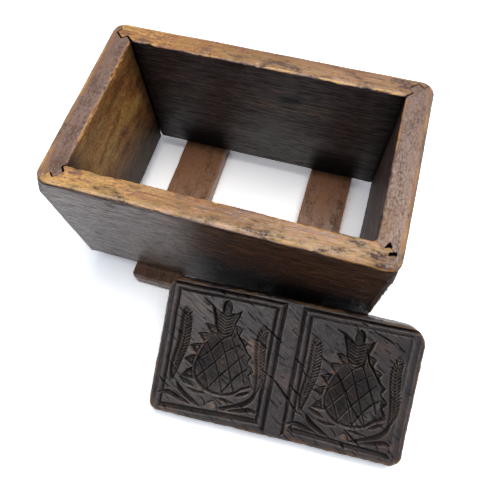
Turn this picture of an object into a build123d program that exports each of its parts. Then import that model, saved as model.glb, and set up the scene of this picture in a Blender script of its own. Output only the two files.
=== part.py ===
"""Box butter mould: four boards with locked mitre corners, two slats, and a loose carved print plate.

Millimetres. X runs along the box, Y to its back and Z up. The origin is the centre of the box on the floor.
The plate is out of the box: its lower edge is on the floor and its upper edge leans on the front board.
"""

import os
from math import cos, radians, sin

from build123d import *

# Boards
box_length = 190.0
box_width = 115.6
board_height = 90.0
end_thickness = 15.0
side_thickness = 13.7
corner_radius = 8.0
rim_outer_radius = 3.0
rim_inner_radius = 1.2

# Locked mitre, measured along the mitre from the inner corner and square to it
inner_mitre = 5.2
tongue_width = 6.2
tongue_reach = 3.8
mitre_overrun = 5.0

# Slats: centre along the box and width of each
slats = {"left_slat": (-44.6, 31.8), "right_slat": (51.4, 30.3)}
slat_thickness = 11.5
slat_overhang = 10.2
slat_tip_radius = 3.5
slat_edge_radius = 1.2

# Nails, driven up through the slats into the side boards
nail_radius = 1.1
nail_length = 28.0
nail_tip_length = 4.0
nail_head_radius = 2.6
nail_head_thickness = 1.2
nail_recess = 0.3
nail_spacing = 17.0

# Print plate: its size, and how it leans
plate_length = 149.2
plate_width = 81.4
plate_thickness = 12.7
plate_corner_radius = 5.5
plate_edge_radius = 1.0
plate_tilt = 25.2
plate_yaw = 3.65
plate_centre = (53.1, -102.8)

# Carving: two framed panels with a stile between them
stile_width = 9.6
panel_width = 65.5
panel_height = 75.0
frame_width = 4.4
frame_depth = 1.4
fruit_depth = 2.2
crown_depth = 1.8
sepal_depth = 1.3
ear_depth = 1.4
leaf_depth = 1.1
lattice_width = 0.9
lattice_depth = 0.7
lattice_pitch = 7.2
lattice_count = 5
lattice_angle = 52.0

# Derived sizes
cavity_length = box_length - 2 * end_thickness
cavity_width = box_width - 2 * side_thickness
rim_height = slat_thickness + board_height
slat_length = box_width + 2 * slat_overhang
nail_row = (box_width - side_thickness) / 2
nail_depth = nail_recess + nail_length
panel_pitch = stile_width + panel_width

os.makedirs("parts", exist_ok=True)


def nail_places(slat):
    """Centres of the four nails of one slat, seen from above."""
    centre, _ = slats[slat]
    return [
        (centre + side * nail_spacing / 2, row * nail_row) for side in (-1, 1) for row in (-1, 1)
    ]


all_nails = [place for slat in slats for place in nail_places(slat)]


# Boards. Each has a tongue at the end it meets first going round the box, and a groove at the other end.
def mitre_line(side_x, side_y):
    """Plan of the joint at one corner, from the inner corner out through the outer corner."""
    inner = Vector(side_x * cavity_length / 2, side_y * cavity_width / 2)
    outer = Vector(side_x * box_length / 2, side_y * box_width / 2)
    along = (outer - inner).normalized()
    across = along.rotate(Axis.Z, 90)
    near = inner + along * inner_mitre
    far = near + along * tongue_width
    reach = across * tongue_reach
    return [inner, near, near + reach, far + reach, far, outer + along * mitre_overrun]


corners = {
    "front_right": (1, -1),
    "back_right": (1, 1),
    "back_left": (-1, 1),
    "front_left": (-1, -1),
}
board_corners = {
    "front_board": ("front_left", "front_right"),
    "right_end_board": ("front_right", "back_right"),
    "back_board": ("back_right", "back_left"),
    "left_end_board": ("back_left", "front_left"),
}


def make_board(name):
    """One board, cut from the rounded ring of the whole box along its two corner joints."""
    groove_corner, tongue_corner = board_corners[name]
    with BuildPart() as board:
        with BuildSketch(Plane.XY.offset(slat_thickness)):
            RectangleRounded(box_length, box_width, corner_radius)
            Rectangle(cavity_length, cavity_width, mode=Mode.SUBTRACT)
        extrude(amount=board_height)
        rim = board.faces().sort_by(Axis.Z)[-1]
        fillet(rim.outer_wire().edges(), rim_outer_radius)
        with BuildSketch():
            with BuildLine():
                groove_line = mitre_line(*corners[groove_corner])
                tongue_line = mitre_line(*corners[tongue_corner])
                Polyline((0, 0), *groove_line, *reversed(tongue_line), close=True)
            make_face()
        extrude(amount=rim_height, mode=Mode.INTERSECT)
        fillet(board.edges().sort_by_distance((0, 0, rim_height))[0], rim_inner_radius)
        if name in ("front_board", "back_board"):
            row = -nail_row if name == "front_board" else nail_row
            holes = [place for place in all_nails if place[1] == row]
            with BuildSketch():
                with Locations(*holes):
                    Circle(nail_radius)
            extrude(amount=nail_depth, mode=Mode.SUBTRACT)
    board.part.label = name
    return board


for board_name in board_corners:
    board = make_board(board_name)
    export_step(board.part, f"parts/{board_name}.step")


# Slats, with rounded tips that stick out as finger grips
def make_slat(name):
    """One slat, bored for its nails and sunk for their heads."""
    centre, width = slats[name]
    with BuildPart() as slat:
        with BuildSketch():
            with Locations((centre, 0)):
                RectangleRounded(width, slat_length, slat_tip_radius)
        extrude(amount=slat_thickness)
        fillet(slat.edges().group_by(Axis.Z)[-1], slat_edge_radius)
        with BuildSketch():
            with Locations(*nail_places(name)):
                Circle(nail_radius)
        extrude(amount=slat_thickness, mode=Mode.SUBTRACT)
        with BuildSketch():
            with Locations(*nail_places(name)):
                Circle(nail_head_radius)
        extrude(amount=nail_recess + nail_head_thickness, mode=Mode.SUBTRACT)
    slat.part.label = name
    return slat


for slat_name in slats:
    slat = make_slat(slat_name)
    export_step(slat.part, f"parts/{slat_name}.step")

# Nails, heads down
with BuildPart() as slat_nails:
    shank_length = nail_length - nail_tip_length
    upright = (Align.CENTER, Align.CENTER, Align.MIN)
    with Locations(*[(x, y, nail_recess) for x, y in all_nails]):
        Cylinder(nail_head_radius, nail_head_thickness, align=upright)
        Cylinder(nail_radius, shank_length, align=upright)
    with Locations(*[(x, y, nail_recess + shank_length) for x, y in all_nails]):
        Cone(nail_radius, nail_radius / 4, nail_tip_length, align=upright)
slat_nails.part.label = "slat_nails"
export_step(slat_nails.part, "parts/slat_nails.step")

# Print plate, drawn on its carved face, with the rounded lower edge on the floor
tilt = radians(plate_tilt)
yaw = radians(plate_yaw)
edge_drop = plate_edge_radius * (cos(tilt) + sin(tilt) - 1)
plate_rise = plate_thickness * cos(tilt) + plate_width / 2 * sin(tilt) - edge_drop
face = Plane(
    origin=(*plate_centre, plate_rise),
    x_dir=(cos(yaw), sin(yaw), 0),
    z_dir=(sin(yaw) * sin(tilt), -cos(yaw) * sin(tilt), cos(tilt)),
)


def carve(depth):
    """Sink the sketch that was just drawn into the plate's face."""
    extrude(amount=-depth, mode=Mode.SUBTRACT)


with BuildPart() as print_plate:
    with BuildSketch(face):
        RectangleRounded(plate_length, plate_width, plate_corner_radius)
    extrude(amount=-plate_thickness)
    fillet(print_plate.faces().filter_by(face).edges(), plate_edge_radius)

    for panel in (-panel_pitch / 2, panel_pitch / 2):
        # Frame groove round the panel
        with BuildSketch(face):
            with Locations((panel, 0)):
                Rectangle(panel_width, panel_height)
                Rectangle(panel_width - 2 * frame_width, panel_height - 2 * frame_width, mode=Mode.SUBTRACT)
        carve(frame_depth)

        # Toothed sepals on both sides of the fruit
        with BuildSketch(face):
            for side in (-1, 1):
                with BuildLine():
                    teeth = [(5, 18), (11, 17), (10, 12), (15, 10), (14, 5), (18.5, 2), (17, -3)]
                    teeth += [(20.5, -6), (18, -11), (19.5, -15), (13, -20), (5, -22)]
                    Polyline(*[(panel + side * x, y) for x, y in teeth], close=True)
                make_face()
        carve(sepal_depth)

        # Fruit, pointed at the neck and round below
        with BuildSketch(face):
            with BuildLine():
                neck = (panel, 17)
                base = (panel, -22.5)
                Spline(neck, (panel - 8, 8.5), (panel - 15.5, -8), (panel - 9, -20), base)
                Spline(neck, (panel + 8, 8.5), (panel + 15.5, -8), (panel + 9, -20), base)
            make_face()
        carve(fruit_depth)

        # Crossing cuts in the floor of the fruit
        with BuildSketch(face.offset(-fruit_depth)):
            for turn in (-lattice_angle, lattice_angle):
                for row in range(lattice_count):
                    offset = (row - (lattice_count - 1) / 2) * lattice_pitch
                    with Locations(Location((panel, -8, 0), (0, 0, turn))):
                        with Locations((0, offset)):
                            Rectangle(24, lattice_width)
        carve(lattice_depth)

        # Crown of three leaves on its neck
        with BuildSketch(face):
            with Locations((panel, 24)):
                SlotOverall(18, 5.6, rotation=90)
            for side in (-1, 1):
                with BuildLine():
                    leaf = [(0, 16), (5.5, 17), (6, 22), (9.5, 28), (4.5, 26.5), (2, 24)]
                    Polyline(*[(panel + side * x, y) for x, y in leaf], close=True)
                make_face()
        carve(crown_depth)

        # Ears of grain beside the fruit
        with BuildSketch(face):
            with Locations(Location((panel - 23, 4, 0), (0, 0, 84))):
                Ellipse(19, 3.2)
            with Locations(Location((panel + 25, 4, 0), (0, 0, 92))):
                Ellipse(17.5, 3.0)
        carve(ear_depth)

        # Long leaves that sweep up from the foot
        with BuildSketch(face):
            for side in (-1, 1):
                with Locations(Location((panel + side * 15, -26.2, 0), (0, 0, side * 34))):
                    Ellipse(9.5, 1.3)
                with Locations(Location((panel + side * 21, -30.2, 0), (0, 0, side * 9))):
                    Ellipse(8, 1.2)
                with Locations(Location((panel + side * 7, -25, 0), (0, 0, -side * 8))):
                    Ellipse(6, 1.3)
        carve(leaf_depth)
print_plate.part.label = "print_plate"
export_step(print_plate.part, "parts/print_plate.step")
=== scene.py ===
"""Looks of a box butter mould: worn boards on slats, nails, and a loose plate carved with two pineapples.

Metres, in the frame of the solids: X along the box, Y to its back, Z up from the floor.
"""

import math

import bpy
import numpy as np
from bpy.props import FloatProperty, FloatVectorProperty, IntProperty, PointerProperty
from mathutils import Matrix, Vector, noise


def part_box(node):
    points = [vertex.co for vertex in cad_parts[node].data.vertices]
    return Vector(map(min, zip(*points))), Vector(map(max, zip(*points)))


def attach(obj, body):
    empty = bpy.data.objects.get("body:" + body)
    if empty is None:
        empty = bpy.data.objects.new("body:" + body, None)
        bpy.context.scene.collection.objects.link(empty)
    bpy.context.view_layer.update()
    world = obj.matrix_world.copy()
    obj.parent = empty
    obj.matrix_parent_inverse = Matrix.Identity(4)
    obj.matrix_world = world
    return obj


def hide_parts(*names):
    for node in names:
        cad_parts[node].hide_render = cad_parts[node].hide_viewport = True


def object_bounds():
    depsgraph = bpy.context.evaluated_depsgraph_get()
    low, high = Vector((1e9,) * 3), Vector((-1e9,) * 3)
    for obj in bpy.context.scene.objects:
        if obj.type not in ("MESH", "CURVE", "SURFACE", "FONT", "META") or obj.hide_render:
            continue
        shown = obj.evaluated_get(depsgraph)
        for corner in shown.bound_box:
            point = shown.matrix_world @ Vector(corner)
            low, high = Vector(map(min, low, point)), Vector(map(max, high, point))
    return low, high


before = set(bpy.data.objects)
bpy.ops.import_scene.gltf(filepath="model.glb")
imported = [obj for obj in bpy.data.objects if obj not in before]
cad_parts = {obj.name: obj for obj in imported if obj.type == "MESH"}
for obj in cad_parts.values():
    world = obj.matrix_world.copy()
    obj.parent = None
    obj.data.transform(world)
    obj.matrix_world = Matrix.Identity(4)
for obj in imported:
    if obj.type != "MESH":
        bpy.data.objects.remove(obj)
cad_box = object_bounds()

bl_info = {
    "name": "Box butter mould",
    "version": (1, 0, 0),
    "blender": (4, 5, 0),
    "location": "View3D > Sidebar > Butter mould",
    "description": "Models and finishes the worn boards, slats, nails and carved plate of a butter mould",
    "category": "Add Mesh",
}

MM = 0.001

# Sizes read from the solids
RIM_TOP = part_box("front_board")[1].z
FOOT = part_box("front_board")[0].z
CAVITY_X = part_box("right_end_board")[0].x
CAVITY_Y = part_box("back_board")[0].y
OUTER_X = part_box("right_end_board")[1].x
OUTER_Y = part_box("back_board")[1].y


# Mesh helpers
def only(piece):
    """Select one object and make it active."""
    bpy.ops.object.select_all(action="DESELECT")
    piece.select_set(True)
    bpy.context.view_layer.objects.active = piece


def copy_of_solid(node):
    """A new object with its own merged copy of a solid's mesh."""
    name = f"worn_{node}"
    piece = bpy.data.objects.new(name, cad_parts[node].data.copy())
    piece.data.name = name
    piece.data.materials.clear()
    bpy.context.scene.collection.objects.link(piece)
    only(piece)
    bpy.ops.object.mode_set(mode="EDIT")
    bpy.ops.mesh.select_all(action="SELECT")
    bpy.ops.mesh.remove_doubles(threshold=0.005 * MM)
    bpy.ops.object.mode_set(mode="OBJECT")
    return piece


def close_shell():
    """End the modelling of a closed shell in edit mode, with its faces turned outwards."""
    bpy.ops.mesh.select_all(action="SELECT")
    bpy.ops.mesh.normals_make_consistent(inside=False)
    bpy.ops.object.mode_set(mode="OBJECT")


def finish_with(piece, kind, **settings):
    """Add a modifier with its settings and apply it."""
    only(piece)
    modifier = piece.modifiers.new(kind.title(), kind)
    for key, value in settings.items():
        setattr(modifier, key, value)
    bpy.ops.object.modifier_apply(modifier=modifier.name)


def points_of(mesh, field="co"):
    """The places of a mesh's vertices, or another vector that each of them has."""
    values = np.empty(len(mesh.vertices) * 3)
    mesh.vertices.foreach_get(field, values)
    return values.reshape(-1, 3)


def move_points(mesh, places):
    """Put a mesh's vertices at these places."""
    mesh.vertices.foreach_set("co", np.ascontiguousarray(places).ravel())
    mesh.update()


def spread(mesh, values, turns):
    """Average a value per vertex with its neighbours, a number of times."""
    ends = np.empty(len(mesh.edges) * 2, dtype=np.int64)
    mesh.edges.foreach_get("vertices", ends)
    a, b = ends.reshape(-1, 2).T
    count = np.bincount(np.concatenate([a, b]), minlength=len(values))
    columns = values.reshape(len(values), -1).T
    for _ in range(turns):
        columns = [
            (c + np.bincount(a, c[b], len(c)) + np.bincount(b, c[a], len(c))) / (count + 1) for c in columns
        ]
    return np.array(columns).T.reshape(values.shape)


def bulge(mesh, turns):
    """How far each vertex stands out from the places round it."""
    places = points_of(mesh)
    return ((places - spread(mesh, places, turns)) * points_of(mesh, "normal")).sum(axis=1)


def arrises(mesh, step):
    """How much each vertex stands on an outer edge, from 0 on a flat to 1 on the edge."""
    return np.clip(spread(mesh, np.clip(bulge(mesh, 1) / (0.1 * step), 0, 1), 3) * 1.6, 0, 1)


def cloud(places, size, seed):
    """Smooth noise from 0 to 1 at each place, with bumps of about this size."""
    shift = Vector((seed, 2 * seed, 3 * seed))
    return np.array([0.5 + 0.5 * noise.noise(Vector(p) / size + shift) for p in places])


def ramp(values, low, high):
    """A smooth step from 0 at low to 1 at high."""
    t = np.clip((values - low) / (high - low), 0, 1)
    return t * t * (3 - 2 * t)


def note(mesh, **numbers):
    """Keep numbers for each vertex, by name, for the material to read."""
    for name, values in numbers.items():
        attribute = mesh.attributes.new(name, "FLOAT", "POINT")
        attribute.data.foreach_set("value", np.ascontiguousarray(values, dtype=np.float32))


def rub(piece, name, weights, turns, levels=24):
    """Smooth a piece a number of turns, as far as the weights from 0 to 1 say, in even levels."""
    group = piece.vertex_groups.new(name=name)
    steps = np.rint(np.clip(weights, 0, 1) * levels).astype(int)
    for step in range(1, levels + 1):
        group.add(np.flatnonzero(steps == step).tolist(), step / levels, "REPLACE")
    finish_with(piece, "SMOOTH", factor=0.5, iterations=turns, vertex_group=name)


def make_uneven(piece, size, strength, level):
    """Move a piece's faces in and out, with bumps of this size."""
    texture = bpy.data.textures.new(f"{piece.name} unevenness", "CLOUDS")
    texture.noise_scale = size
    finish_with(
        piece, "DISPLACE", texture=texture, strength=strength, mid_level=level, texture_coords="LOCAL")


def nearest_run(places, line):
    """Distance of each place from a run of points, and how far along the run it is nearest, from 0 to 1."""
    best = np.full(len(places), np.inf)
    where = np.zeros(len(places))
    for i, (start, end) in enumerate(zip(line[:-1], line[1:])):
        start, way = np.asarray(start, float), np.asarray(end, float) - start
        t = np.clip((places - start) @ way / max(way @ way, 1e-18), 0, 1)
        away = np.linalg.norm(places - start - t[:, None] * way, axis=1)
        closer = away < best
        best[closer] = away[closer]
        where[closer] = (i + t[closer]) / (len(line) - 1)
    return best, where


def hand_over(piece, body, slot, material, *nodes):
    """Give a finished piece its material and its place in the part."""
    piece.data.materials.append(material)
    move_points(piece.data, np.clip(points_of(piece.data), *cad_box))
    only(piece)
    bpy.ops.object.shade_smooth()
    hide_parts(*nodes)
    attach(piece, body)


# Material helpers
def linear(code):
    """An sRGB hex colour as linear RGBA."""
    parts = [int(code[i:i + 2], 16) / 255 for i in (1, 3, 5)]
    return (*[c / 12.92 if c <= 0.04045 else ((c + 0.055) / 1.055) ** 2.4 for c in parts], 1.0)


def add(tree, kind, inputs=None, stops=None, **settings):
    """Add one node: its settings, its ramp's stops, and its inputs as values or links."""
    made = tree.nodes.new(kind)
    for key, value in settings.items():
        setattr(made, key, value)
    if stops:
        elements = made.color_ramp.elements
        while len(elements) < len(stops):
            elements.new(0.5)
        for element, (place, colour) in zip(elements, stops):
            element.position = place
            element.color = colour
    for key, value in (inputs or {}).items():
        if isinstance(value, bpy.types.NodeSocket):
            tree.links.new(value, made.inputs[key])
        else:
            made.inputs[key].default_value = value
    return made


def cleared_tree(owner):
    """The node tree of a material or a world, with nothing in it."""
    owner.use_nodes = True
    owner.node_tree.nodes.clear()
    return owner.node_tree


def finish_surface(tree, **inputs):
    """The surface shader with these inputs, their words joined by an underscore, and the tree's output."""
    named = {key.replace("_", " "): value for key, value in inputs.items()}
    surface = add(tree, "ShaderNodeBsdfPrincipled", named)
    add(tree, "ShaderNodeOutputMaterial", {"Surface": surface.outputs[0]})


def weighted_sum(tree, base, *parts):
    """A number with others added to it, each times its own weight."""
    for number, weight in parts:
        grown = add(tree, "ShaderNodeMath", {0: number, 1: weight, 2: base}, operation="MULTIPLY_ADD")
        base = grown.outputs[0]
    return base


def highest(tree, number, *others):
    """The highest of some numbers."""
    for other in others:
        number = add(tree, "ShaderNodeMath", {0: number, 1: other}, operation="MAXIMUM").outputs[0]
    return number


def layered(tree, colour, *layers):
    """A colour under others that are laid on it in turn, each with its share and MIX or MULTIPLY."""
    for share, over, mode in layers:
        mixed = add(tree, "ShaderNodeMix", {0: share, 6: colour, 7: over}, data_type="RGBA", blend_type=mode)
        colour = mixed.outputs[2]
    return colour


def stretched_noise(tree, place, sizes, detail, shift=(0, 0, 0)):
    """Noise from 0 to 1, with marks of these sizes in millimetres along X, Y and Z."""
    scaled = add(tree, "ShaderNodeMapping", {
        "Vector": place, "Location": shift, "Scale": [1 / (MM * size) for size in sizes],
    })
    return add(tree, "ShaderNodeTexNoise", {
        "Vector": scaled.outputs[0], "Scale": 1.0, "Detail": detail, "Roughness": 0.6,
    }).outputs["Fac"]


# Old maple
# Marks of the wood: length along the grain and width in millimetres, and how much detail each has
MARKS = (
    (70, 15, 2.0),  # broad bands
    (24, 1.3, 3.0),  # streaks
    (13, 5.5, 2.5),  # patches
    (1.9, 1.1, 2.0),  # speckle, drawn coarser than real pores so that it shows
    (8, 0.8, 2.0),  # fine lines
    (11, 0.8, 1.0),  # cracks
)
WOOD_STOPS = (0.51, 0.59, 0.66)

# Half of the range over which the skin thins out
SKIN_EDGE = 0.42

# Skin of oil and dirt on the rim, on the outer faces and inside, its flecks, its cracks, and the near black
# of caked dirt and painted shade
SKIN_TONES = {
    "skin": "#604536", "face_skin": "#45301f", "deep_skin": "#3f2e26", "rim_fleck": "#d8cac0",
    "skin_fleck": "#8f8078", "crack": "#3a2c28", "grime": "#0c0a0c",
}
WOOD_IOR = 1.5


def old_maple(name, grain, shift, woods, tones, mottle, streaky=1.0, cracked=0.77, glossy=0.84):
    """Old maple, hand planed, under a dark skin of oil and dirt.

    The eye sees gold and tan wood with long streaks where hands rubbed the skin away, purple brown where it
    stays, a fine speckle where one passes into the other, and a few short dark cracks along the grain.
    Woods are the dark, middle and light colours of the bare wood, and tones the skin's colours that differ.
    A lower mottle gives a more even skin, a lower streaky more even wood, a lower cracked more cracks and a
    lower glossy a duller skin.
    """
    material = bpy.data.materials.new(name)
    tree = cleared_tree(material)
    place = add(tree, "ShaderNodeTexCoord").outputs["Object"]
    broad, streaks, patches, speckle, fine, cracks = [
        stretched_noise(
            tree, place, [along if axis == grain else across for axis in "XYZ"], detail,
            [40 * turn * part for part in shift])
        for turn, (along, across, detail) in enumerate(MARKS, 1)
    ]
    cover, deep, inside, grime, matt = [
        add(tree, "ShaderNodeAttribute", attribute_name=key).outputs["Fac"]
        for key in ("cover", "deep_skin", "inside", "grime", "matt")
    ]
    skins = {key: linear(code) for key, code in (SKIN_TONES | tones).items()}

    # Bare wood. The middle of a sum of patterns is half of its weights.
    tone = weighted_sum(
        tree, 0.18 * (1 - streaky), (patches, 0.3), (broad, 0.27), (streaks, 0.18 * streaky), (speckle, 0.27),
        (fine, 0.18 * streaky))
    wood = add(tree, "ShaderNodeValToRGB", {"Fac": tone}, list(zip(WOOD_STOPS, woods))).outputs["Color"]

    # Skin, with specks on the rim and lines elsewhere
    lines = weighted_sum(tree, 0.0, (fine, 0.6), (streaks, 0.4))
    specks = weighted_sum(tree, 0.0, (patches, 0.4), (speckle, 0.6))
    fleck = add(tree, "ShaderNodeMix", {0: deep, 2: specks, 3: lines}).outputs[0]
    fleck = add(tree, "ShaderNodeMapRange", {"Value": fleck, "From Min": 0.42, "From Max": 0.6}).outputs[0]
    mark = layered(tree, skins["rim_fleck"], (deep, skins["skin_fleck"], "MIX"))
    skin = layered(tree, skins["face_skin"], (inside, skins["deep_skin"], "MIX"))
    skin = layered(tree, skins["skin"], (deep, skin, "MIX"), (fleck, mark, "MULTIPLY"))

    # How far the skin covers the wood
    speckle_weight = weighted_sum(tree, 0.55, (deep, -0.05))
    streak_weight = weighted_sum(tree, 0.8 * streaky, (deep, 1.2))
    middle = weighted_sum(tree, 0.875 + 0.5 * mottle + 0.85 * streaky, (deep, 0.575))
    cover = weighted_sum(
        tree, cover, (patches, mottle), (speckle, speckle_weight), (fine, 0.9 * streaky),
        (streaks, streak_weight), (broad, 1.2), (middle, -1.0))
    cover = add(tree, "ShaderNodeMapRange", {
        "Value": cover, "From Min": -SKIN_EDGE, "From Max": SKIN_EDGE,
    }).outputs[0]

    # Cracks, on the outer faces only
    outside = weighted_sum(tree, deep, (inside, -1.0))
    cracks = add(tree, "ShaderNodeMapRange", {
        "Value": cracks, "From Min": cracked, "From Max": cracked + 0.07,
    }).outputs[0]
    cracks = add(
        tree, "ShaderNodeMath", {0: cracks, 1: outside}, operation="MULTIPLY", use_clamp=True).outputs[0]
    colour = layered(
        tree, wood,
        (cover, skin, "MIX"),
        (cracks, skins["crack"], "MULTIPLY"),
        # Near black laid on: dirt in joints, holes and slat tips, and painted shade in corners, towards the
        # inner foot, over the slats and behind the plate
        (grime, skins["grime"], "MIX"),
    )

    dull = add(tree, "ShaderNodeMapRange", {"Value": speckle, "To Min": 0.24, "To Max": 0.46}).outputs[0]
    dull = weighted_sum(tree, dull, (inside, 0.12))
    gloss = add(tree, "ShaderNodeMapRange", {"Value": fleck, "To Min": glossy, "To Max": 0.2}).outputs[0]
    shine = add(tree, "ShaderNodeMapRange", {
        "Value": highest(tree, matt, grime, cracks), "To Min": gloss, "To Max": 0.03,
    }).outputs[0]

    fine_height = weighted_sum(tree, 0.8, (deep, 0.7))
    streak_height = weighted_sum(tree, 0.0, (deep, 1.5), (inside, -0.8))
    height = weighted_sum(
        tree, patches, (speckle, 0.4), (fine, fine_height), (streaks, streak_height), (cracks, -1.2))
    bump = add(tree, "ShaderNodeBump", {"Height": height, "Strength": 0.85, "Distance": 0.4 * MM}).outputs[0]
    finish_surface(
        tree, Base_Color=colour, Roughness=dull, Specular_IOR_Level=shine, Normal=bump, IOR=WOOD_IOR)
    return material


# Dark carved maple
GROUND_STOPS = (0.36, 0.52, 0.68)
CHECK_TURN = 31.0


def dark_carved_maple(name, grounds, bare):
    """Old maple print plate, cut by hand and blackened by years of wet use.

    The eye sees near black brown with a grey sheen, fine slanting checks, blacker cuts, and brown wood where
    the edges are rubbed. Grounds are the dark, middle and light colours of the face, and bare is that wood.
    """
    material = bpy.data.materials.new(name)
    tree = cleared_tree(material)
    flat = add(tree, "ShaderNodeAttribute", attribute_name="flat_place").outputs["Vector"]
    slanted = add(tree, "ShaderNodeMapping", {
        "Vector": flat, "Rotation": (0, 0, math.radians(CHECK_TURN)),
    }).outputs[0]
    broad = stretched_noise(tree, flat, (24, 16, 16), 3.0)
    grit = stretched_noise(tree, flat, (1.3, 1.0, 1.0), 2.0)
    checks = stretched_noise(tree, slanted, (15, 0.55, 0.55), 1.0)
    dark_checks, open_checks = [
        add(tree, "ShaderNodeMapRange", {"Value": checks, "From Min": low, "From Max": high}).outputs[0]
        for low, high in ((0.54, 0.63), (0.48, 0.68))
    ]
    tan, recess, lip, wear, check = [
        add(tree, "ShaderNodeAttribute", attribute_name=key).outputs["Fac"]
        for key in ("tan", "recess", "lip", "wear", "check")
    ]

    stops = list(zip(GROUND_STOPS, grounds))
    colour = layered(
        tree, add(tree, "ShaderNodeValToRGB", {"Fac": broad}, stops).outputs["Color"],
        (tan, linear("#674832"), "MIX"),
        (dark_checks, linear("#4c4444"), "MULTIPLY"),
        # Darker in cuts and hollows: painted shade, with some dirt held in them
        (recess, linear("#3a3432"), "MULTIPLY"),
        # Lighter lips on proud edges: rubbed wood with a painted highlight
        (lip, linear("#6c5f55"), "MIX"),
        (wear, bare, "MIX"),
        (check, linear("#030303"), "MIX"),
    )
    shine = add(tree, "ShaderNodeMapRange", {
        "Value": highest(tree, recess, wear, check), "To Min": 0.42, "To Max": 0.08,
    }).outputs[0]
    dull = add(tree, "ShaderNodeMapRange", {"Value": grit, "To Min": 0.24, "To Max": 0.42}).outputs[0]
    height = weighted_sum(tree, grit, (open_checks, -0.7))
    bump = add(tree, "ShaderNodeBump", {"Height": height, "Strength": 0.9, "Distance": 0.26 * MM}).outputs[0]
    finish_surface(
        tree, Base_Color=colour, Roughness=dull, Specular_IOR_Level=shine, Normal=bump, IOR=WOOD_IOR)
    return material


# Rusted iron
RUST_SIZE = 1.2 * MM
RUST_STOPS = ((0.38, "#1d1815"), (0.52, "#3b2a20"), (0.68, "#6a4127"))


def rusted_iron(name):
    """Hand-cut iron nails, rusted brown. The eye sees dark scale with dull orange patches."""
    material = bpy.data.materials.new(name)
    tree = cleared_tree(material)
    patches = add(tree, "ShaderNodeTexNoise", {
        "Vector": add(tree, "ShaderNodeTexCoord").outputs["Object"],
        "Scale": 1 / RUST_SIZE, "Detail": 5.0, "Roughness": 0.65,
    }).outputs["Fac"]
    stops = [(place, linear(code)) for place, code in RUST_STOPS]
    colour = add(tree, "ShaderNodeValToRGB", {"Fac": patches}, stops).outputs["Color"]
    rough = add(tree, "ShaderNodeMapRange", {"Value": patches, "To Min": 0.5, "To Max": 0.85}).outputs[0]
    bump = add(tree, "ShaderNodeBump", {"Height": patches, "Strength": 0.5, "Distance": 0.15 * MM}).outputs[0]
    finish_surface(tree, Base_Color=colour, Roughness=rough, Normal=bump, Metallic=0.6)
    return material


# Settings that a user would change
def a_length(name, description, default):
    """A length in metres."""
    return FloatProperty(name=name, description=description, default=default, unit="LENGTH", precision=5)


def an_angle(name, description, degrees):
    """An angle, given in degrees."""
    return FloatProperty(name=name, description=description, default=math.radians(degrees), subtype="ANGLE")


def a_place(name, description, default):
    """A place in metres."""
    return FloatVectorProperty(
        name=name, description=description, default=default, size=3, subtype="TRANSLATION", precision=4)


def a_colour(name, description, code):
    """A colour, given as an sRGB hex value."""
    return FloatVectorProperty(
        name=name, description=description, default=linear(code), size=4, subtype="COLOR", min=0.0, max=1.0)


class MouldBoardSettings(bpy.types.PropertyGroup):
    """Wear and colours of the boards and slats"""

    voxel: a_length("Mesh step", "Edge length of the boards' mesh", 0.7 * MM)
    arris_turns: IntProperty(name="Arris wear", description="How far the edges are rubbed round", default=5)
    rim_turns: IntProperty(name="Rim wear", description="How far the front rim is rubbed round", default=34)
    wave: a_length("Wave", "Unevenness of the hand-planed faces", 0.5 * MM)
    dent: a_length("Dents", "Depth of the deepest dents along the edges", 0.65 * MM)
    wood_dark: a_colour("Dark wood", "Dark streaks of the boards' bare wood", "#6f4526")
    wood: a_colour("Wood", "The boards' bare wood", "#b87d42")
    wood_light: a_colour("Light wood", "Light streaks of the boards' bare wood", "#f0be6c")
    slat_dark: a_colour("Dark slat", "Dark streaks of the slats' bare wood", "#8a5a3b")
    slat: a_colour("Slat", "The slats' bare wood", "#b07850")
    slat_light: a_colour("Light slat", "Light streaks of the slats' bare wood", "#cc915f")


class MouldPlateSettings(bpy.types.PropertyGroup):
    """Size, lean, carving and colours of the print plate"""

    size: FloatVectorProperty(
        name="Size", description="Length, width and thickness of the plate", size=3, unit="LENGTH",
        precision=4, default=(149.2 * MM, 81.4 * MM, 12.7 * MM))
    tilt: an_angle("Tilt", "How far the plate leans back from flat", 25.2)
    yaw: an_angle("Yaw", "Turn of the plate on the floor", 3.65)
    step: a_length("Mesh step", "Edge length of the carved face's mesh", 0.38 * MM)
    depth: FloatProperty(
        name="Depth of cut", description="Scale of all the carving's depths", default=1.5, min=0.0)
    ground_dark: a_colour("Dark face", "Darkest part of the blackened face", "#251b1b")
    ground: a_colour("Face", "The blackened face", "#342726")
    ground_light: a_colour("Light face", "Lightest part of the blackened face", "#49372f")
    bare: a_colour("Bare wood", "Wood where the plate's edges are rubbed", "#86613c")


class MouldStageSettings(bpy.types.PropertyGroup):
    """Camera and light"""

    camera_place: a_place("Camera", "Where the camera stands", (54.0 * MM, -143.7 * MM, RIM_TOP + 198.9 * MM))
    camera_aim: a_place("Aim", "Point on the floor that the camera looks at", (9.5 * MM, -24.4 * MM, 0.0))
    camera_roll: an_angle("Roll", "Turn of the camera about its view", -4.46)
    lens: FloatProperty(name="Lens", description="Focal length on a 36 mm wide frame", default=33.26)
    sky: FloatProperty(name="Sky", description="Strength of the light from all round", default=0.34)
    window: FloatProperty(name="Window", description="Power of the large light overhead", default=8.4)
    panel: FloatProperty(name="Panel", description="Power of the small light in front", default=1.2)
    sheen: FloatProperty(
        name="Sheen", description="Power of the light in front that only gloss shows", default=10.3)
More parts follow.
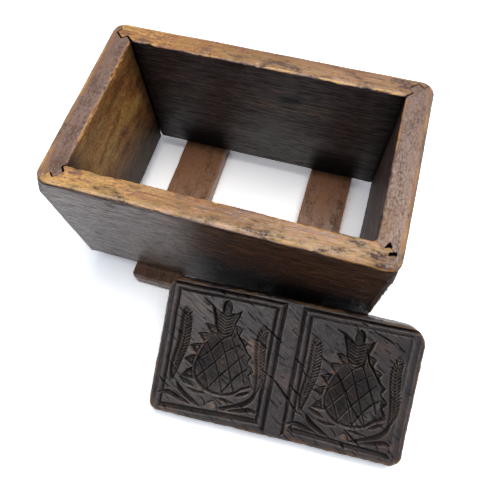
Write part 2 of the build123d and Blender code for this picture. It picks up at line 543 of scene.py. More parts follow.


# Boards, each with the way its grain runs, a shift of its pattern, its finish and its own skin tones.
# Then how far the skin covers it along the rim and the rim's outer shoulder, both from left to right or from
# front to back, how much more it covers the rim's outer side, how far it covers the inner face, and how
# strong the painted shade is at the inner foot.
BOARDS = {
    "front_board": {
        "grain": "X", "shift": (0.31, 0.07, 0.0), "finish": {"mottle": 2.6, "cracked": 0.63, "glossy": 1.0},
        "tones": {"face_skin": "#4a2d1a", "deep_skin": "#402818"},
        "rim": (-0.55, -0.06, -0.2), "shoulder": (0.9, 0.2, -0.5), "outer": 0.0, "inner": 0.7, "foot": 0.3,
    },
    "back_board": {
        "grain": "X", "shift": (0.12, 0.43, 0.2), "finish": {"mottle": 2.2},
        "tones": {"skin": "#755746", "deep_skin": "#3c2a29", "skin_fleck": "#b3a69f"},
        "rim": (-0.5, -0.05, 0.05), "shoulder": (0.2, 0.2, 0.2), "outer": 0.1, "inner": 0.65, "foot": 0.3,
    },
    "left_end_board": {
        "grain": "Y", "shift": (0.57, 0.21, 0.4), "finish": {"mottle": 1.4},
        "tones": {
            "skin": "#866a5d", "deep_skin": "#6e5543", "skin_fleck": "#bcaea6", "rim_fleck": "#d2c6bc",
        },
        "rim": (0.45, 0.45, 0.5), "shoulder": (-0.4, -0.4, -0.2), "outer": -0.4, "inner": -0.5, "foot": 0.65,
    },
    "right_end_board": {
        "grain": "Y", "shift": (0.83, 0.66, 0.1), "finish": {"mottle": 0.9},
        "tones": {
            "skin": "#8a6f62", "deep_skin": "#4c3a38", "skin_fleck": "#bcaea6", "rim_fleck": "#d2c6bc",
        },
        "rim": (0.25, 0.42, 0.42), "shoulder": (0.0, 0.2, 0.2), "outer": -0.2, "inner": 0.5, "foot": 0.2,
    },
}
FACE_COVER = 0.75
BOARD_HEIGHT = (RIM_TOP - FOOT) / MM

# Corner joints
INNER_MITRE = 5.2 * MM
TONGUE_WIDTH = 6.2 * MM
TONGUE_REACH = 3.8 * MM
CORNER_RADIUS = 8.0 * MM

# Corners by their sides in X and Y, with how far each of the joint's five lines has opened, in millimetres
# from inside out. Below 0 the boards are pressed into each other.
JOINT_GAPS = {
    (1, -1): (-1.1, -1.1, -1.1, -1.1, -1.1),
    (1, 1): (0.15, -0.4, -0.05, -0.05, -0.05),
    (-1, 1): (0.2, -0.05, 0.15, 0.05, -0.3),
    (-1, -1): (0.0, 0.14, -0.4, -0.05, -0.4),
}

# How much nearer to the inside the front left joint was cut
FRONT_LEFT = (-1, -1)
FRONT_LEFT_SHIFT = 2.4 * MM

# Holes that broke out of the front right corner, as plans in millimetres
CORNER_HOLES = (
    [(84.9, -46.0), (88.1, -45.4), (86.5, -43.2)],
    [(86.9, -49.6), (90.6, -48.6), (90.4, -47.4), (87.3, -48.2)],
)
HOLED_BOARDS = ("front_board", "right_end_board")
HOLE_DEPTH = 12 * MM
HOLE_LIP = 0.4 * MM

# The worn front right corner: its place in plan, how far the rim is rubbed down there, and how far the right
# end's outer face comes in below it
WORN_CORNER = (OUTER_X - 3 * MM, -OUTER_Y + 2 * MM)
CORNER_WEAR = 1.4 * MM
CORNER_INSET = 2.6 * MM

# How far the front board's lower edge hangs below the tops of the slats that are let into it
FRONT_DROP = 2.3 * MM

# Knocks along each board's edges: how many, and their radii
DENT_COUNT = 100
DENT_RADII = (0.8 * MM, 2.8 * MM)

# A dark smear inside the back board, in millimetres along the box and down from the rim
SMEAR_MIDDLE = (17.0, 22.7)
SMEAR_REACH = (14.0, 5.5)

# Pattern shifts and skin tones of the slats
SLATS = {"left_slat": (0.23, 0.11, 0.5), "right_slat": (0.71, 0.38, 0.9)}
SLAT_TONES = {"skin": "#7c5740", "rim_fleck": "#e0d8d2"}


def joint_line(side_x, side_y):
    """Plan of one corner joint, as points from the inner corner out."""
    inner = np.array((side_x * CAVITY_X, side_y * CAVITY_Y))
    outer = np.array((side_x * OUTER_X, side_y * OUTER_Y))
    along = (outer - inner) / np.linalg.norm(outer - inner)
    reach = np.array((-along[1], along[0])) * TONGUE_REACH
    near = inner + along * INNER_MITRE
    far = near + along * TONGUE_WIDTH
    return [inner, near, near + reach, far + reach, far, outer]


def joint_opening(places):
    """Distance of each place from the nearest joint, and how far that has opened there, in millimetres."""
    nearest = np.full(len(places), np.inf)
    opening = np.zeros(len(places))
    for corner, gaps in JOINT_GAPS.items():
        away, where = nearest_run(places[:, :2], joint_line(*corner))
        closer = away < nearest
        line = np.minimum((where * len(gaps)).astype(int), len(gaps) - 1)
        nearest[closer] = away[closer]
        opening[closer] = np.array(gaps)[line[closer]]
    return nearest / MM, opening


def square_feet(places):
    """Places with the outer corners less round below the rim, where hands never rubbed them."""
    x, y, z = places.T
    u = np.maximum(np.abs(x) - (OUTER_X - CORNER_RADIUS), 0)
    v = np.maximum(np.abs(y) - (OUTER_Y - CORNER_RADIUS), 0)
    most = np.maximum(np.maximum(u, v), 1e-9)
    share = 0.95 * ramp(z, RIM_TOP - 1.5 * MM, RIM_TOP - 13 * MM)
    share *= np.minimum(u, v) > 0
    stretch = share * (np.hypot(u, v) / most - 1)
    moved = places.copy()
    moved[:, 0] += np.sign(x) * u * stretch
    moved[:, 1] += np.sign(y) * v * stretch
    return moved


def shift_joint(places, corner, shift):
    """Places with one corner's tongue and groove moved towards the inner corner."""
    inner, near, _, far_reach, *_ = joint_line(*corner)
    inward = (inner - near) / np.linalg.norm(inner - near)
    flat = places[:, :2]
    share = ramp(np.linalg.norm(flat - (near + far_reach) / 2, axis=1), 11 * MM, 5 * MM)
    share *= ramp((np.abs(flat) - (CAVITY_X, CAVITY_Y)).max(axis=1), 0, 2.5 * MM)
    share *= ramp(((OUTER_X, OUTER_Y) - np.abs(flat)).min(axis=1), 0, 4 * MM)
    moved = places.copy()
    moved[:, :2] += shift * share[:, None] * inward
    return moved


def cut_hole(piece, corners):
    """Sink an upright hole with this plan into the rim."""
    bpy.ops.object.select_all(action="DESELECT")
    bpy.ops.mesh.primitive_circle_add(vertices=len(corners), radius=MM, fill_type="NGON")
    cutter = bpy.context.object
    move_points(cutter.data, np.array([(x * MM, y * MM, RIM_TOP - HOLE_DEPTH) for x, y in corners]))
    bpy.ops.object.mode_set(mode="EDIT")
    bpy.ops.mesh.select_all(action="SELECT")
    for rise in (HOLE_DEPTH - HOLE_LIP, 2 * MM):
        bpy.ops.mesh.extrude_region_move(TRANSFORM_OT_translate={"value": (0, 0, rise)})
    close_shell()
    finish_with(piece, "BOOLEAN", operation="DIFFERENCE", solver="EXACT", object=cutter)
    bpy.data.objects.remove(cutter)


def dent_edges(places, normals, edge, depth, seed):
    """Places with small knocks along the edges."""
    random = np.random.default_rng(seed)
    spots = np.flatnonzero(edge > 0.8)
    moved = places.copy()
    for spot in random.choice(spots, size=min(DENT_COUNT, len(spots)), replace=False):
        radius = random.uniform(*DENT_RADII)
        away = np.linalg.norm(places - places[spot], axis=1)
        share = np.clip(1 - (away / radius) ** 2, 0, 1) ** 1.5
        share *= 0.3 + 0.7 * ramp(places[spot, 2], RIM_TOP - 30 * MM, RIM_TOP - 10 * MM)
        moved -= normals[spot] * (share * depth * random.uniform(0.15, 1.0) ** 2)[:, None]
    return moved


class WornBoard:
    """One board while it is worn, with what is known of each vertex as it stood in the plain board.

    Lengths are in millimetres: x and y, down from the rim, up from the foot, in from the box's sides and the
    cavity's walls, and away from the nearest joint and hole.
    """

    def __init__(self, node, settings, seed):
        self.settings = settings
        self.seed = seed
        self.is_front = node == "front_board"
        self.is_back = node == "back_board"
        self.piece = copy_of_solid(node)
        self.mesh = self.piece.data
        finish_with(self.piece, "REMESH", mode="VOXEL", voxel_size=settings.voxel)
        if node in HOLED_BOARDS:
            for corners in CORNER_HOLES:
                cut_hole(self.piece, corners)

        self.places = points_of(self.mesh)
        flat, height = self.places[:, :2], self.places[:, 2]
        self.x, self.y = flat.T / MM
        self.down = (RIM_TOP - height) / MM
        self.up = (height - FOOT) / MM
        self.to_sides = ((OUTER_X, OUTER_Y) - np.abs(flat)) / MM
        self.to_walls = ((CAVITY_X, CAVITY_Y) - np.abs(flat)) / MM
        self.to_joint, self.opening = joint_opening(self.places)
        rings = [MM * np.array([*corners, corners[0]]) for corners in CORNER_HOLES]
        self.to_hole = np.min([nearest_run(flat, ring)[0] for ring in rings], axis=0) / MM

        # From 0 to 1: off the joints, on a rubbed edge, at the worn corner and in a patch of more wear
        self.off_joint = ramp(self.to_joint, 0.6, 2.2)
        self.edge = arrises(self.mesh, settings.voxel) * self.off_joint
        self.worn_corner = ramp(np.linalg.norm(flat - WORN_CORNER, axis=1), 14 * MM, 4 * MM)
        self.patchy = ramp(cloud(self.places, 16 * MM, seed + 3), 0.25, 0.7)

    def shape(self):
        """Open the joints, wear the corners, knock and rub the edges, and make the faces uneven."""
        settings, down = self.settings, self.down
        normals = points_of(self.mesh, "normal")
        step = settings.voxel / MM
        at_joint = ramp(self.to_joint, 1.3 * step, 0.6 * step) * ramp(self.to_hole, 0.3, 1.2)
        shrunk = MM * self.opening * at_joint * (0.55 + 0.9 * cloud(self.places, 5 * MM, self.seed))
        moved = square_feet(self.places - normals * (1, 1, 0) * shrunk[:, None])
        moved = shift_joint(moved, FRONT_LEFT, FRONT_LEFT_SHIFT)
        high = ramp(down, 14, 2)
        moved[:, 2] -= CORNER_WEAR * self.worn_corner * high
        to_corner = ramp(self.x, CAVITY_X / MM, OUTER_X / MM) * ramp(-self.y, 15, OUTER_Y / MM)
        moved[:, 0] -= CORNER_INSET * to_corner * (1 - high)
        moved = dent_edges(moved, normals, self.edge, settings.dent, int(10 * self.seed))
        if self.is_front:
            moved[:, 2] -= FRONT_DROP * ramp(self.up, 4, 0)
        move_points(self.mesh, moved)

        rub(self.piece, "arris", self.edge * (0.3 + 0.7 * self.patchy), settings.arris_turns)
        if self.is_front:
            round_rim = ramp(down, 9, 5) * ramp(OUTER_Y / MM + self.y, 8, 5)
            round_rim *= (1 - 0.8 * ramp(self.x, -20, 40)) * self.off_joint
            rub(self.piece, "round rim", round_rim * (0.5 + 0.5 * self.patchy), settings.rim_turns)
        for size, share in ((36 * MM, 1.0), (7 * MM, 0.36)):
            make_uneven(self.piece, size, share * settings.wave, 0.85)

    def note_finish(self, look):
        """Note for the material where the skin covers the wood, where there is dirt and painted shade, and
        dull wood.
        """
        x, down, up = self.x, self.down, self.up
        normals = points_of(self.mesh, "normal")
        forward, upward = -normals[:, 1], normals[:, 2]
        rim = ramp(down, 5, 1.5) * ramp(upward, 0.35, 0.75)
        inside = ramp(self.to_walls, -0.7, 0).prod(axis=1) * (1 - rim)
        deep_inside = inside * ramp(down, 20, BOARD_HEIGHT - 8)
        shoulder = ramp(upward, 0.9, 0.6) * ramp(upward, 0.1, 0.4) * (1 - inside) * ramp(down, 12, 6)

        # Skin: rubbed off along the edges, thick on the outer shoulder and deep inside
        axis = "XY".index(look["grain"])
        along = self.places[:, axis] / (OUTER_X, OUTER_Y)[axis]
        rim_cover, shoulder_cover = (np.interp(along, (-1, 0, 1), look[part]) for part in ("rim", "shoulder"))
        held = shoulder_cover.clip(0, 1)
        cover = FACE_COVER + (look["inner"] - FACE_COVER) * inside + (rim_cover - FACE_COVER) * rim
        cover -= (0.9 - 0.8 * held) * ramp(self.edge * self.patchy, 0.2, 0.8)
        cover += rim * (0.35 * self.worn_corner + look["outer"] * ramp(self.to_sides.min(axis=1), 6, 3))
        cover += shoulder_cover * shoulder
        cover += 0.8 * deep_inside**2 + 0.3 * inside * ramp(down, 30, 8)

        # Painted shade in the inner corners, towards the inner foot, over the slats and behind the plate,
        # dirt in open joints, holes and a smear on the back, and dull wood
        # Painted shade in the inner corners of the cavity
        corner_shade = inside * ramp(np.hypot(*self.to_walls.T), 17, 1)
        seam = ramp(self.to_joint, 0.2 + 1.2 * self.opening, 0.1) * ramp(self.opening, 0.08, 0.3)
        in_hole = (self.to_hole < 0.05) * ramp(down * MM / HOLE_LIP, 0.2, 0.9)
        middles = [(low.x + high.x) / 2 / MM for low, high in map(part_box, SLATS)]
        # Painted shade and painted reflection of the slats on the lower inner faces above them
        slat_shade_and_reflection = inside * ramp(up, 46, 10) * (np.abs(forward) > 0.5)
        slat_shade_and_reflection *= np.max([ramp(np.abs(x - middle), 24, 12) for middle in middles], axis=0)
        # Painted shade darkens the lower inner faces towards the foot, as strongly as the board's foot number
        # says
        dirt = [0.75 * corner_shade, look["foot"] * deep_inside, 0.95 * slat_shade_and_reflection, seam, in_hole]
        matt = [0.5 * inside * ramp(up, 18, 46), 0.95 * shoulder * held]
        if self.is_back:
            off_smear = np.hypot(*((np.stack([x, down], axis=1) - SMEAR_MIDDLE) / SMEAR_REACH).T)
            dirt.append(0.85 * inside * ramp(off_smear, 1.0, 0.3))
        if self.is_front:
            # Painted shadow of the leaning plate on the lower front face
            plate_shadow = ramp(up, 72, 24) * ramp(x, -42, 5) * ramp(forward, 0.4, 0.8)
            dirt.append(0.97 * plate_shadow * (1 - inside))
            matt.append(0.9 * (1 - inside) * (1 - rim) * ramp(x, -30, 0))
        grime, matt = (np.max(parts, axis=0).clip(0, 1) for parts in (dirt, matt))
        note(self.mesh, cover=cover, inside=inside, deep_skin=1 - rim, grime=grime, matt=matt)


class MOULD_OT_boards(bpy.types.Operator):
    """Model the four worn boards with their locked mitre corners"""

    bl_idname = "mould.boards"
    bl_label = "Boards"

    def execute(self, context):
        settings = context.scene.mould_boards
        woods = [tuple(tone) for tone in (settings.wood_dark, settings.wood, settings.wood_light)]
        for index, (node, look) in enumerate(BOARDS.items()):
            board = WornBoard(node, settings, 1.7 + 4.3 * index)
            board.shape()
            board.note_finish(look)
            name = f"old maple {node.replace('_', ' ')}"
            material = old_maple(name, look["grain"], look["shift"], woods, look["tones"], **look["finish"])
            hand_over(board.piece, "box", "board_wood", material, node)
        return {"FINISHED"}


class MOULD_OT_slats(bpy.types.Operator):
    """Model the two worn cross slats"""

    bl_idname = "mould.slats"
    bl_label = "Slats"

    def execute(self, context):
        settings = context.scene.mould_boards
        woods = [tuple(tone) for tone in (settings.slat_dark, settings.slat, settings.slat_light)]
        for index, (node, shift) in enumerate(SLATS.items()):
            piece = copy_of_solid(node)
            mesh = piece.data
            finish_with(piece, "REMESH", mode="VOXEL", voxel_size=settings.voxel)
            places = points_of(mesh)
            edge = arrises(mesh, settings.voxel)
            patchy = ramp(cloud(places, 15 * MM, 21.3 + index), 0.25, 0.7)
            rub(piece, "arris", edge * (0.35 + 0.65 * patchy), settings.arris_turns)
            make_uneven(piece, 30 * MM, 0.6 * settings.wave, 0.9)

            off_middle = np.abs(places[:, 1])
            # Painted shade on the slats where they run in under the boards
            board_shade = ramp(off_middle, CAVITY_Y - 7 * MM, CAVITY_Y + 1 * MM)
            board_shade *= 1 - ramp(off_middle, OUTER_Y, OUTER_Y + 4 * MM)
            tips = ramp(off_middle, OUTER_Y, OUTER_Y + 3 * MM)
            zero = np.zeros(len(places))
            cover = 0.15 - 0.4 * ramp(edge * patchy, 0.2, 0.8)
            grime = np.maximum(0.7 * board_shade, 0.55 * tips)
            note(mesh, cover=cover, inside=zero, deep_skin=zero, grime=grime, matt=zero)
            name = f"old maple {node.replace('_', ' ')}"
            material = old_maple(name, "Y", shift, woods, SLAT_TONES, mottle=0.9, streaky=0.3)
            hand_over(piece, "box", "slat_wood", material, node)
        return {"FINISHED"}


class MOULD_OT_nails(bpy.types.Operator):
    """Finish the iron nails under the slats"""

    bl_idname = "mould.nails"
    bl_label = "Nails"

    def execute(self, context):
        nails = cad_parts["slat_nails"]
        nails.data.materials.clear()
        nails.data.materials.append(rusted_iron("rusted iron nails"))
        return {"FINISHED"}


# Print plate. All of its carving is drawn in millimetres on the flat face, from the plate's middle.
# The edges of its face and back are rounded, and so are its corners, by their sides in X and Y.
PLATE_EDGE = 1.8
BACK_EDGE = 0.8
PLATE_CORNERS = {(-1, 1): 7.0, (1, 1): 10.5, (-1, -1): 5.5, (1, -1): 7.0}

# Each panel: its frame's lowest and highest corner, its pattern's own middle, how deep the frame's outer and
# inner grooves are on the left, bottom, right and top sides, and how deep the left and right ears are
PANELS = (
    ((-73.0, -39.6), (-4.4, 38.6), (-37.5, 0.0), (0.6, 0.1, 1.0, 1.8), (0.8, 1.5, 1.0, 1.0), (2.0, 1.3)),
    ((5.3, -39.4), (72.4, 38.2), (39.9, -1.0), (1.0, 0.1, 0.3, 1.4), (0.8, 1.5, 0.35, 0.45), (1.6, 1.9)),
)

# Frames: a bead between two grooves, all placed by their middles in from the frame's outer side.
# Bottom sides rise towards the stile, and top sides are narrower than the others.
OUTER_GROOVE = 0.9
BEAD = 3.2
INNER_GROOVE = 5.3
OUTER_HALF = 1.5
BEAD_HALF = 2.0
INNER_HALVES = (1.1, 2.0, 1.3, 1.1)
FRAME_RISE = 0.046
FRAME_TOP = 0.78

# Sepals: their depth, the tip of each tooth, and where its upper and lower sides meet the fruit
TOOTH_CUT = 1.7
LEFT_TEETH = (
    [(-11.7, 17.2), (-5.0, 15.4), (-6.8, 10.4)],
    [(-15.0, 10.6), (-7.0, 10.8), (-9.6, 4.4)],
    [(-18.6, 2.6), (-9.4, 4.8), (-12.6, -2.4)],
    [(-20.6, -6.2), (-12.2, -2.0), (-13.8, -9.6)],
    [(-20.8, -16.6), (-13.4, -9.2), (-12.2, -16.6)],
)
RIGHT_TEETH = (
    [(10.6, 17.6), (5.2, 19.0), (8.6, 11.6)],
    [(15.0, 10.6), (8.8, 12.2), (12.4, 5.2)],
    [(18.4, 2.8), (12.4, 5.8), (15.8, -2.2)],
    [(20.8, -5.5), (15.8, -1.4), (17.8, -9.2)],
    [(21.0, -14.5), (17.8, -8.2), (15.4, -17.4)],
)

# Fruit: its outline, the bowl in it, the ridge left along its left side, and the crossing cuts in its floor
FRUIT = [
    (-0.5, 15.0), (-5.6, 12.5), (-10.2, 5.0), (-13.2, -3.0), (-14.0, -10.0), (-12.0, -16.8), (-6.4, -21.6),
    (1.5, -23.2), (9.5, -22.0), (15.0, -18.0), (17.8, -11.0), (17.0, -4.0), (13.4, 4.0), (7.4, 11.5),
]
BOWL_MIDDLE = (2.0, -5.0)
BOWL_REACH = (15.4, 18.2)
FRUIT_CUT = 1.7
BOWL_CUT = 1.6
LATTICE_WIDTH = 1.0
LATTICE_CUT = 1.1
RIDGE = [(-6.4, 11.6), (-11.0, 5.0), (-13.9, -3.0), (-14.7, -10.0), (-12.6, -17.2), (-6.6, -22.2)]
LATTICE = (
    [(-7.3, 13.0), (-2.5, 10.0), (2.0, 1.0), (6.5, -9.0), (11.5, -21.0)],
    [(-9.4, 6.0), (-6.0, 0.0), (-0.5, -10.0), (4.5, -22.0)],
    [(-12.6, -5.5), (-7.5, -13.5), (-4.0, -21.0)],
    [(4.0, 12.8), (9.0, 3.0), (13.5, -6.0), (16.6, -13.0)],
    [(5.8, 13.6), (-1.0, 9.0), (-6.5, 1.0), (-12.9, -5.0)],
    [(10.4, 8.5), (2.5, 2.0), (-3.5, -6.0), (-9.0, -12.5), (-12.0, -16.0)],
    [(13.6, 3.0), (6.0, -7.0), (1.0, -13.5), (-4.5, -21.6)],
    [(16.6, -5.0), (11.5, -10.6), (4.5, -21.6)],
)

# Crown: its outline, the strokes in its leaves, the feathered rows of its neck, and the deep cut down its
# right side. A stroke is a run of points, its width, its depth, and the shares of its width left at its ends.
CROWN = [
    (-10.2, 29.2), (-6.0, 27.0), (-3.5, 25.8), (-3.7, 29.6), (-3.0, 32.4), (-0.9, 33.8), (1.3, 32.6),
    (2.4, 29.8), (2.4, 26.4), (5.2, 27.0), (8.5, 29.2), (7.6, 24.8), (6.2, 20.6), (5.8, 16.0), (4.4, 11.6),
    (-4.4, 11.6), (-6.4, 16.0), (-7.2, 20.6), (-8.9, 24.8),
]
CROWN_STROKES = (
    ([(-0.9, 33.0), (-0.7, 29.0), (-0.6, 25.6)], 3.4, 3.0, (0.5, 0.4)),
    ([(-9.4, 28.0), (-7.2, 23.0), (-5.6, 17.5)], 1.6, 2.9, (0.2, 0.3)),
    ([(7.6, 28.0), (5.8, 23.5), (4.9, 17.5)], 1.6, 2.9, (0.2, 0.3)),
)
CROWN_CUT = 2.8
NECK_ROWS = 8
NECK_FOOT = 10.5
NECK_PITCH = 1.75
NECK_WIDTH = 1.1
NECK_CUT = 1.0
RIGHT_CUT = [(5.2, 20.0), (7.4, 15.0), (10.8, 11.0), (15.0, 5.0), (17.8, 2.5)]

# Ears of grain, left and right: the line of the spine from its top, and half widths along it
EARS = (
    ([(-24.0, 24.0), (-23.2, 14.0), (-23.0, 4.0), (-24.4, -5.0), (-25.6, -13.0), (-26.0, -20.0)],
     (1.8, 3.5, 3.9, 3.7, 3.3, 2.7, 1.0)),
    ([(23.6, 22.5), (22.2, 14.0), (23.4, 4.0), (24.9, -4.0), (25.2, -11.0), (24.2, -17.0)],
     (1.6, 3.1, 3.4, 3.2, 2.9, 2.4, 1.0)),
)
EAR_PITCH = 1.9
EAR_REACH = 3.4

# Foot: strokes of the long leaves and of the cup's sides, and the cup's outline
FOOT_STROKES = (
    ([(-22.3, -20.8), (-19.0, -25.0), (-12.5, -29.0), (-6.0, -32.0)], 3.6, 2.1, (0.35, 0.1)),
    ([(24.6, -13.5), (23.0, -20.0), (18.0, -25.0), (8.0, -29.6), (3.5, -30.8)], 3.4, 2.0, (0.25, 0.1)),
    ([(-32.3, -28.8), (-27.0, -27.6), (-20.0, -29.4), (-12.5, -31.6)], 3.6, 2.0, (0.35, 0.1)),
    ([(27.0, -28.6), (23.5, -27.4), (17.0, -29.0), (9.0, -30.8)], 3.2, 1.9, (0.3, 0.1)),
    ([(-21.5, -16.8), (-17.0, -18.8), (-12.5, -20.6)], 2.6, 1.6, (0.3, 0.3)),
    ([(-16.0, -22.4), (-11.0, -23.6), (-5.0, -23.2)], 2.2, 1.3, (0.1, 0.3)),
    ([(2.0, -24.6), (8.0, -25.2), (15.0, -26.4)], 2.4, 1.4, (0.2, 0.1)),
    ([(13.0, -21.2), (16.5, -19.3), (21.0, -16.8)], 2.4, 1.5, (0.2, 0.2)),
    ([(-7.0, -25.8), (-4.2, -28.5), (-3.5, -31.0)], 1.1, 1.2, (0.2, 0.2)),
    ([(0.2, -25.6), (2.8, -28.6), (4.6, -33.0)], 1.1, 1.3, (0.2, 0.2)),
)
CUP_CUT = 1.0
CUP = [(-6.2, -31.6), (-3.0, -28.0), (1.0, -25.8), (3.6, -29.0), (4.2, -32.2), (-1.0, -32.6)]

# Patches where the black has worn off, in each panel and beside the stile: place, radius and strength
PANEL_BROWN = (
    ((1.5, -5.0), 3.2, 0.8), ((-8.0, -11.0), 2.6, 0.6), ((1.0, -29.4), 3.0, 0.9), ((-9.0, -22.4), 2.4, 0.6),
    ((10.0, -24.4), 2.6, 0.5),
)
PLATE_BROWN = (((-17.0, 9.0), 7.0, 0.6), ((-14.5, -2.0), 6.0, 0.6), ((-20.5, 12.0), 4.0, 0.6))

# Checks that drying opened, each as a run of points down the slanting grain
LONG_CHECKS = (
    [(-52.6, 32.2), (-49.0, 29.8), (-46.0, 28.2)],
    [(-12.0, 21.0), (-8.0, 18.6), (-3.4, 15.3)],
    [(-12.4, -2.6), (-5.0, -6.0), (2.0, -12.0), (7.0, -17.0), (11.5, -21.6), (15.0, -22.8)],
    [(-18.3, 14.6), (-14.0, 11.8), (-11.6, 10.4)],
    [(-72.0, -18.4), (-68.5, -21.6), (-64.6, -24.4)],
    [(19.0, 13.0), (22.0, 11.2), (25.0, 10.0)],
    [(5.0, 8.3), (8.5, 6.4), (12.0, 4.5)],
    [(26.0, 30.0), (31.0, 28.0), (36.0, 25.0)],
    [(31.0, 4.2), (37.0, -4.5), (43.0, -14.0), (51.0, -22.0)],
    [(40.0, -25.2), (45.0, -29.0), (51.0, -33.4)],
    [(48.5, 32.0), (54.0, 30.0), (58.4, 28.0)],
    [(38.0, 36.6), (42.5, 35.0)],
    [(45.0, 21.0), (46.8, 15.0), (50.0, 10.6)],
    [(5.0, -7.4), (9.4, -10.6), (13.4, -13.4)],
    [(39.0, -33.0), (42.5, -36.6)],
    [(-30.5, 39.0), (-27.0, 37.0)],
    [(-44.0, 38.2), (-40.5, 36.0)],
)
LONG_CHECK_WIDTH = 1.35
LONG_CHECK_CUT = 1.2
SHORT_CHECKS = 230
SHORT_CHECK_CUT = 0.5
CHECK_SLANT = -33.0


def smooth_run(controls, count):
    """Points along a smooth curve through the control points; two of them are left as they are."""
    controls = [np.asarray(c, float) for c in controls]
    if len(controls) == 2:
        return np.array(controls)
    padded = [2 * controls[0] - controls[1], *controls, 2 * controls[-1] - controls[-2]]
    run = []
    for a, b, c, d in zip(padded, padded[1:], padded[2:], padded[3:]):
        for t in np.linspace(0, 1, count, endpoint=False):
            bend = (2 * a - 5 * b + 4 * c - d) * t**2 + (3 * b - a - 3 * c + d) * t**3
            run.append(0.5 * (2 * b + (c - a) * t + bend))
    return np.array([*run, controls[-1]])


class Carving:
    """Depth of cut at every vertex of the plate's face, which each stroke deepens."""

    def __init__(self, places, scale):
        self.places = places
        self.scale = scale
        self.depth = np.zeros(len(places))
        self.checks = np.zeros(len(places))
        self.tan = np.zeros(len(places))

    def near(self, run, margin):
        """Vertices in the box round a run of points."""
        low, high = run.min(axis=0) - margin, run.max(axis=0) + margin
        return np.flatnonzero(((self.places >= low) & (self.places <= high)).all(axis=1))

    def deepen(self, chosen, cut):
        """Cut some vertices at least this deep."""
        self.depth[chosen] = np.maximum(self.depth[chosen], cut * self.scale)

    def gouge(self, controls, width, cut, taper, count=10, onto=None):
        """A V groove along a smooth run, narrowing to these shares of its width at its ends.

        It is cut from the flat face, or from the depths given as onto.
        """
        run = smooth_run(controls, count)
        chosen = self.near(run, width)
        if not len(chosen):
            return
        away, where = nearest_run(self.places[chosen], run)
        start, end = taper
        swell = np.sin(np.pi * where) ** 0.6
        share = np.where(where < 0.5, start + (1 - start) * swell, end + (1 - end) * swell)
        groove = cut * share * np.clip(1 - away / np.maximum(width / 2 * share, 1e-6), 0, 1)
        if onto is None:
            self.deepen(chosen, groove)
        else:
            deeper = np.maximum(self.depth[chosen], onto[chosen] + groove * self.scale)
            self.depth[chosen] = np.where(groove > 0, deeper, self.depth[chosen])

    def ridge(self, controls, cut):
        """A rounded ridge left standing between two hollows, with its top at this depth."""
        run = smooth_run(controls, 10)
        chosen = self.near(run, 3.0)
        away, where = nearest_run(self.places[chosen], run)
        top = cut * self.scale + 1.3 * away**2 + 3.0 * (1 - np.sin(np.pi * where) ** 0.4)
        self.depth[chosen] = np.minimum(self.depth[chosen], top)

    def check(self, controls, width, cut):
        """A drying crack along a run."""
        run = smooth_run(controls, 6)
        chosen = self.near(run, width)
        if not len(chosen):
            return
        away, where = nearest_run(self.places[chosen], run)
        half = width / 2 * np.clip(np.sin(np.pi * where) ** 0.4, 0.2, 1)
        self.checks[chosen] = np.maximum(self.checks[chosen], np.clip(1.4 - away / half, 0, 1))
        self.depth[chosen] += cut * np.clip(1 - away / half, 0, 1)

    def pocket(self, outline, cut, wall, lean=None):
        """A sunk shape with sloping walls; lean gives a direction in which the floor drops away."""
        outline = np.asarray(outline, float)
        chosen = self.near(outline, 0.0)
        spots = self.places[chosen]
        inside = np.zeros(len(spots), bool)
        for a, b in zip(outline, np.roll(outline, -1, axis=0)):
            crosses = (a[1] > spots[:, 1]) != (b[1] > spots[:, 1])
            rise = b[1] - a[1] if b[1] != a[1] else 1e-12
            inside ^= crosses & (spots[:, 0] < (b[0] - a[0]) * (spots[:, 1] - a[1]) / rise + a[0])
        chosen, spots = chosen[inside], spots[inside]
        if not len(chosen):
            return
        away, _ = nearest_run(spots, np.vstack([outline, outline[:1]]))
        floor = np.full(len(spots), cut, float)
        if lean is not None:
            way = spots @ (np.asarray(lean, float) / np.linalg.norm(lean))
            floor = cut * (0.15 + 0.85 * (way - way.min()) / max(np.ptp(way), 1e-9))
        self.deepen(chosen, floor * ramp(away, 0, wall))

    def brown(self, place, radius, strength):
        """A patch where the black has worn off the wood."""
        away = np.linalg.norm(self.places - place, axis=1)
        self.tan = np.maximum(self.tan, strength * ramp(away, radius, 0.2 * radius))


def carve_frame(carving, low, high, outer_cuts, inner_cuts):
    """A bead between two grooves round one panel, each groove with its own depth on each side."""
    insets = np.hstack([carving.places - low, high - carving.places])
    off_middle = carving.places[:, 0] - (low[0] + high[0]) / 2
    insets[:, 1] += FRAME_RISE * off_middle * np.sign(low[0] + high[0])
    insets[:, 3] /= FRAME_TOP
    side = insets.argmin(axis=1)
    flat = np.column_stack([carving.places, np.zeros(len(side))])
    inset = insets.min(axis=1) + 0.7 * (cloud(flat, 17, 12.7) - 0.5) + 0.4 * (cloud(flat, 5, 14.1) - 0.5)
    outer_cut, inner_cut, inner_half = (
        np.array(sides)[side] for sides in (outer_cuts, inner_cuts, INNER_HALVES))
    outer = outer_cut * ramp(np.abs(inset - OUTER_GROOVE), OUTER_HALF, 0.1)
    inner = inner_cut * ramp(np.abs(inset - INNER_GROOVE), inner_half, 0.1)
    across = np.clip((inset - BEAD) / BEAD_HALF, -1, 1)
    bead = np.where(np.abs(across) < 1, 1.1 * (1 - np.sqrt(1 - across**2)), 0)
    bead *= np.where(inset < BEAD, outer_cut, 1.2 * inner_cut).clip(0, 1)
    carving.depth = np.maximum(carving.depth, carving.scale * np.max([outer, inner, bead], axis=0))


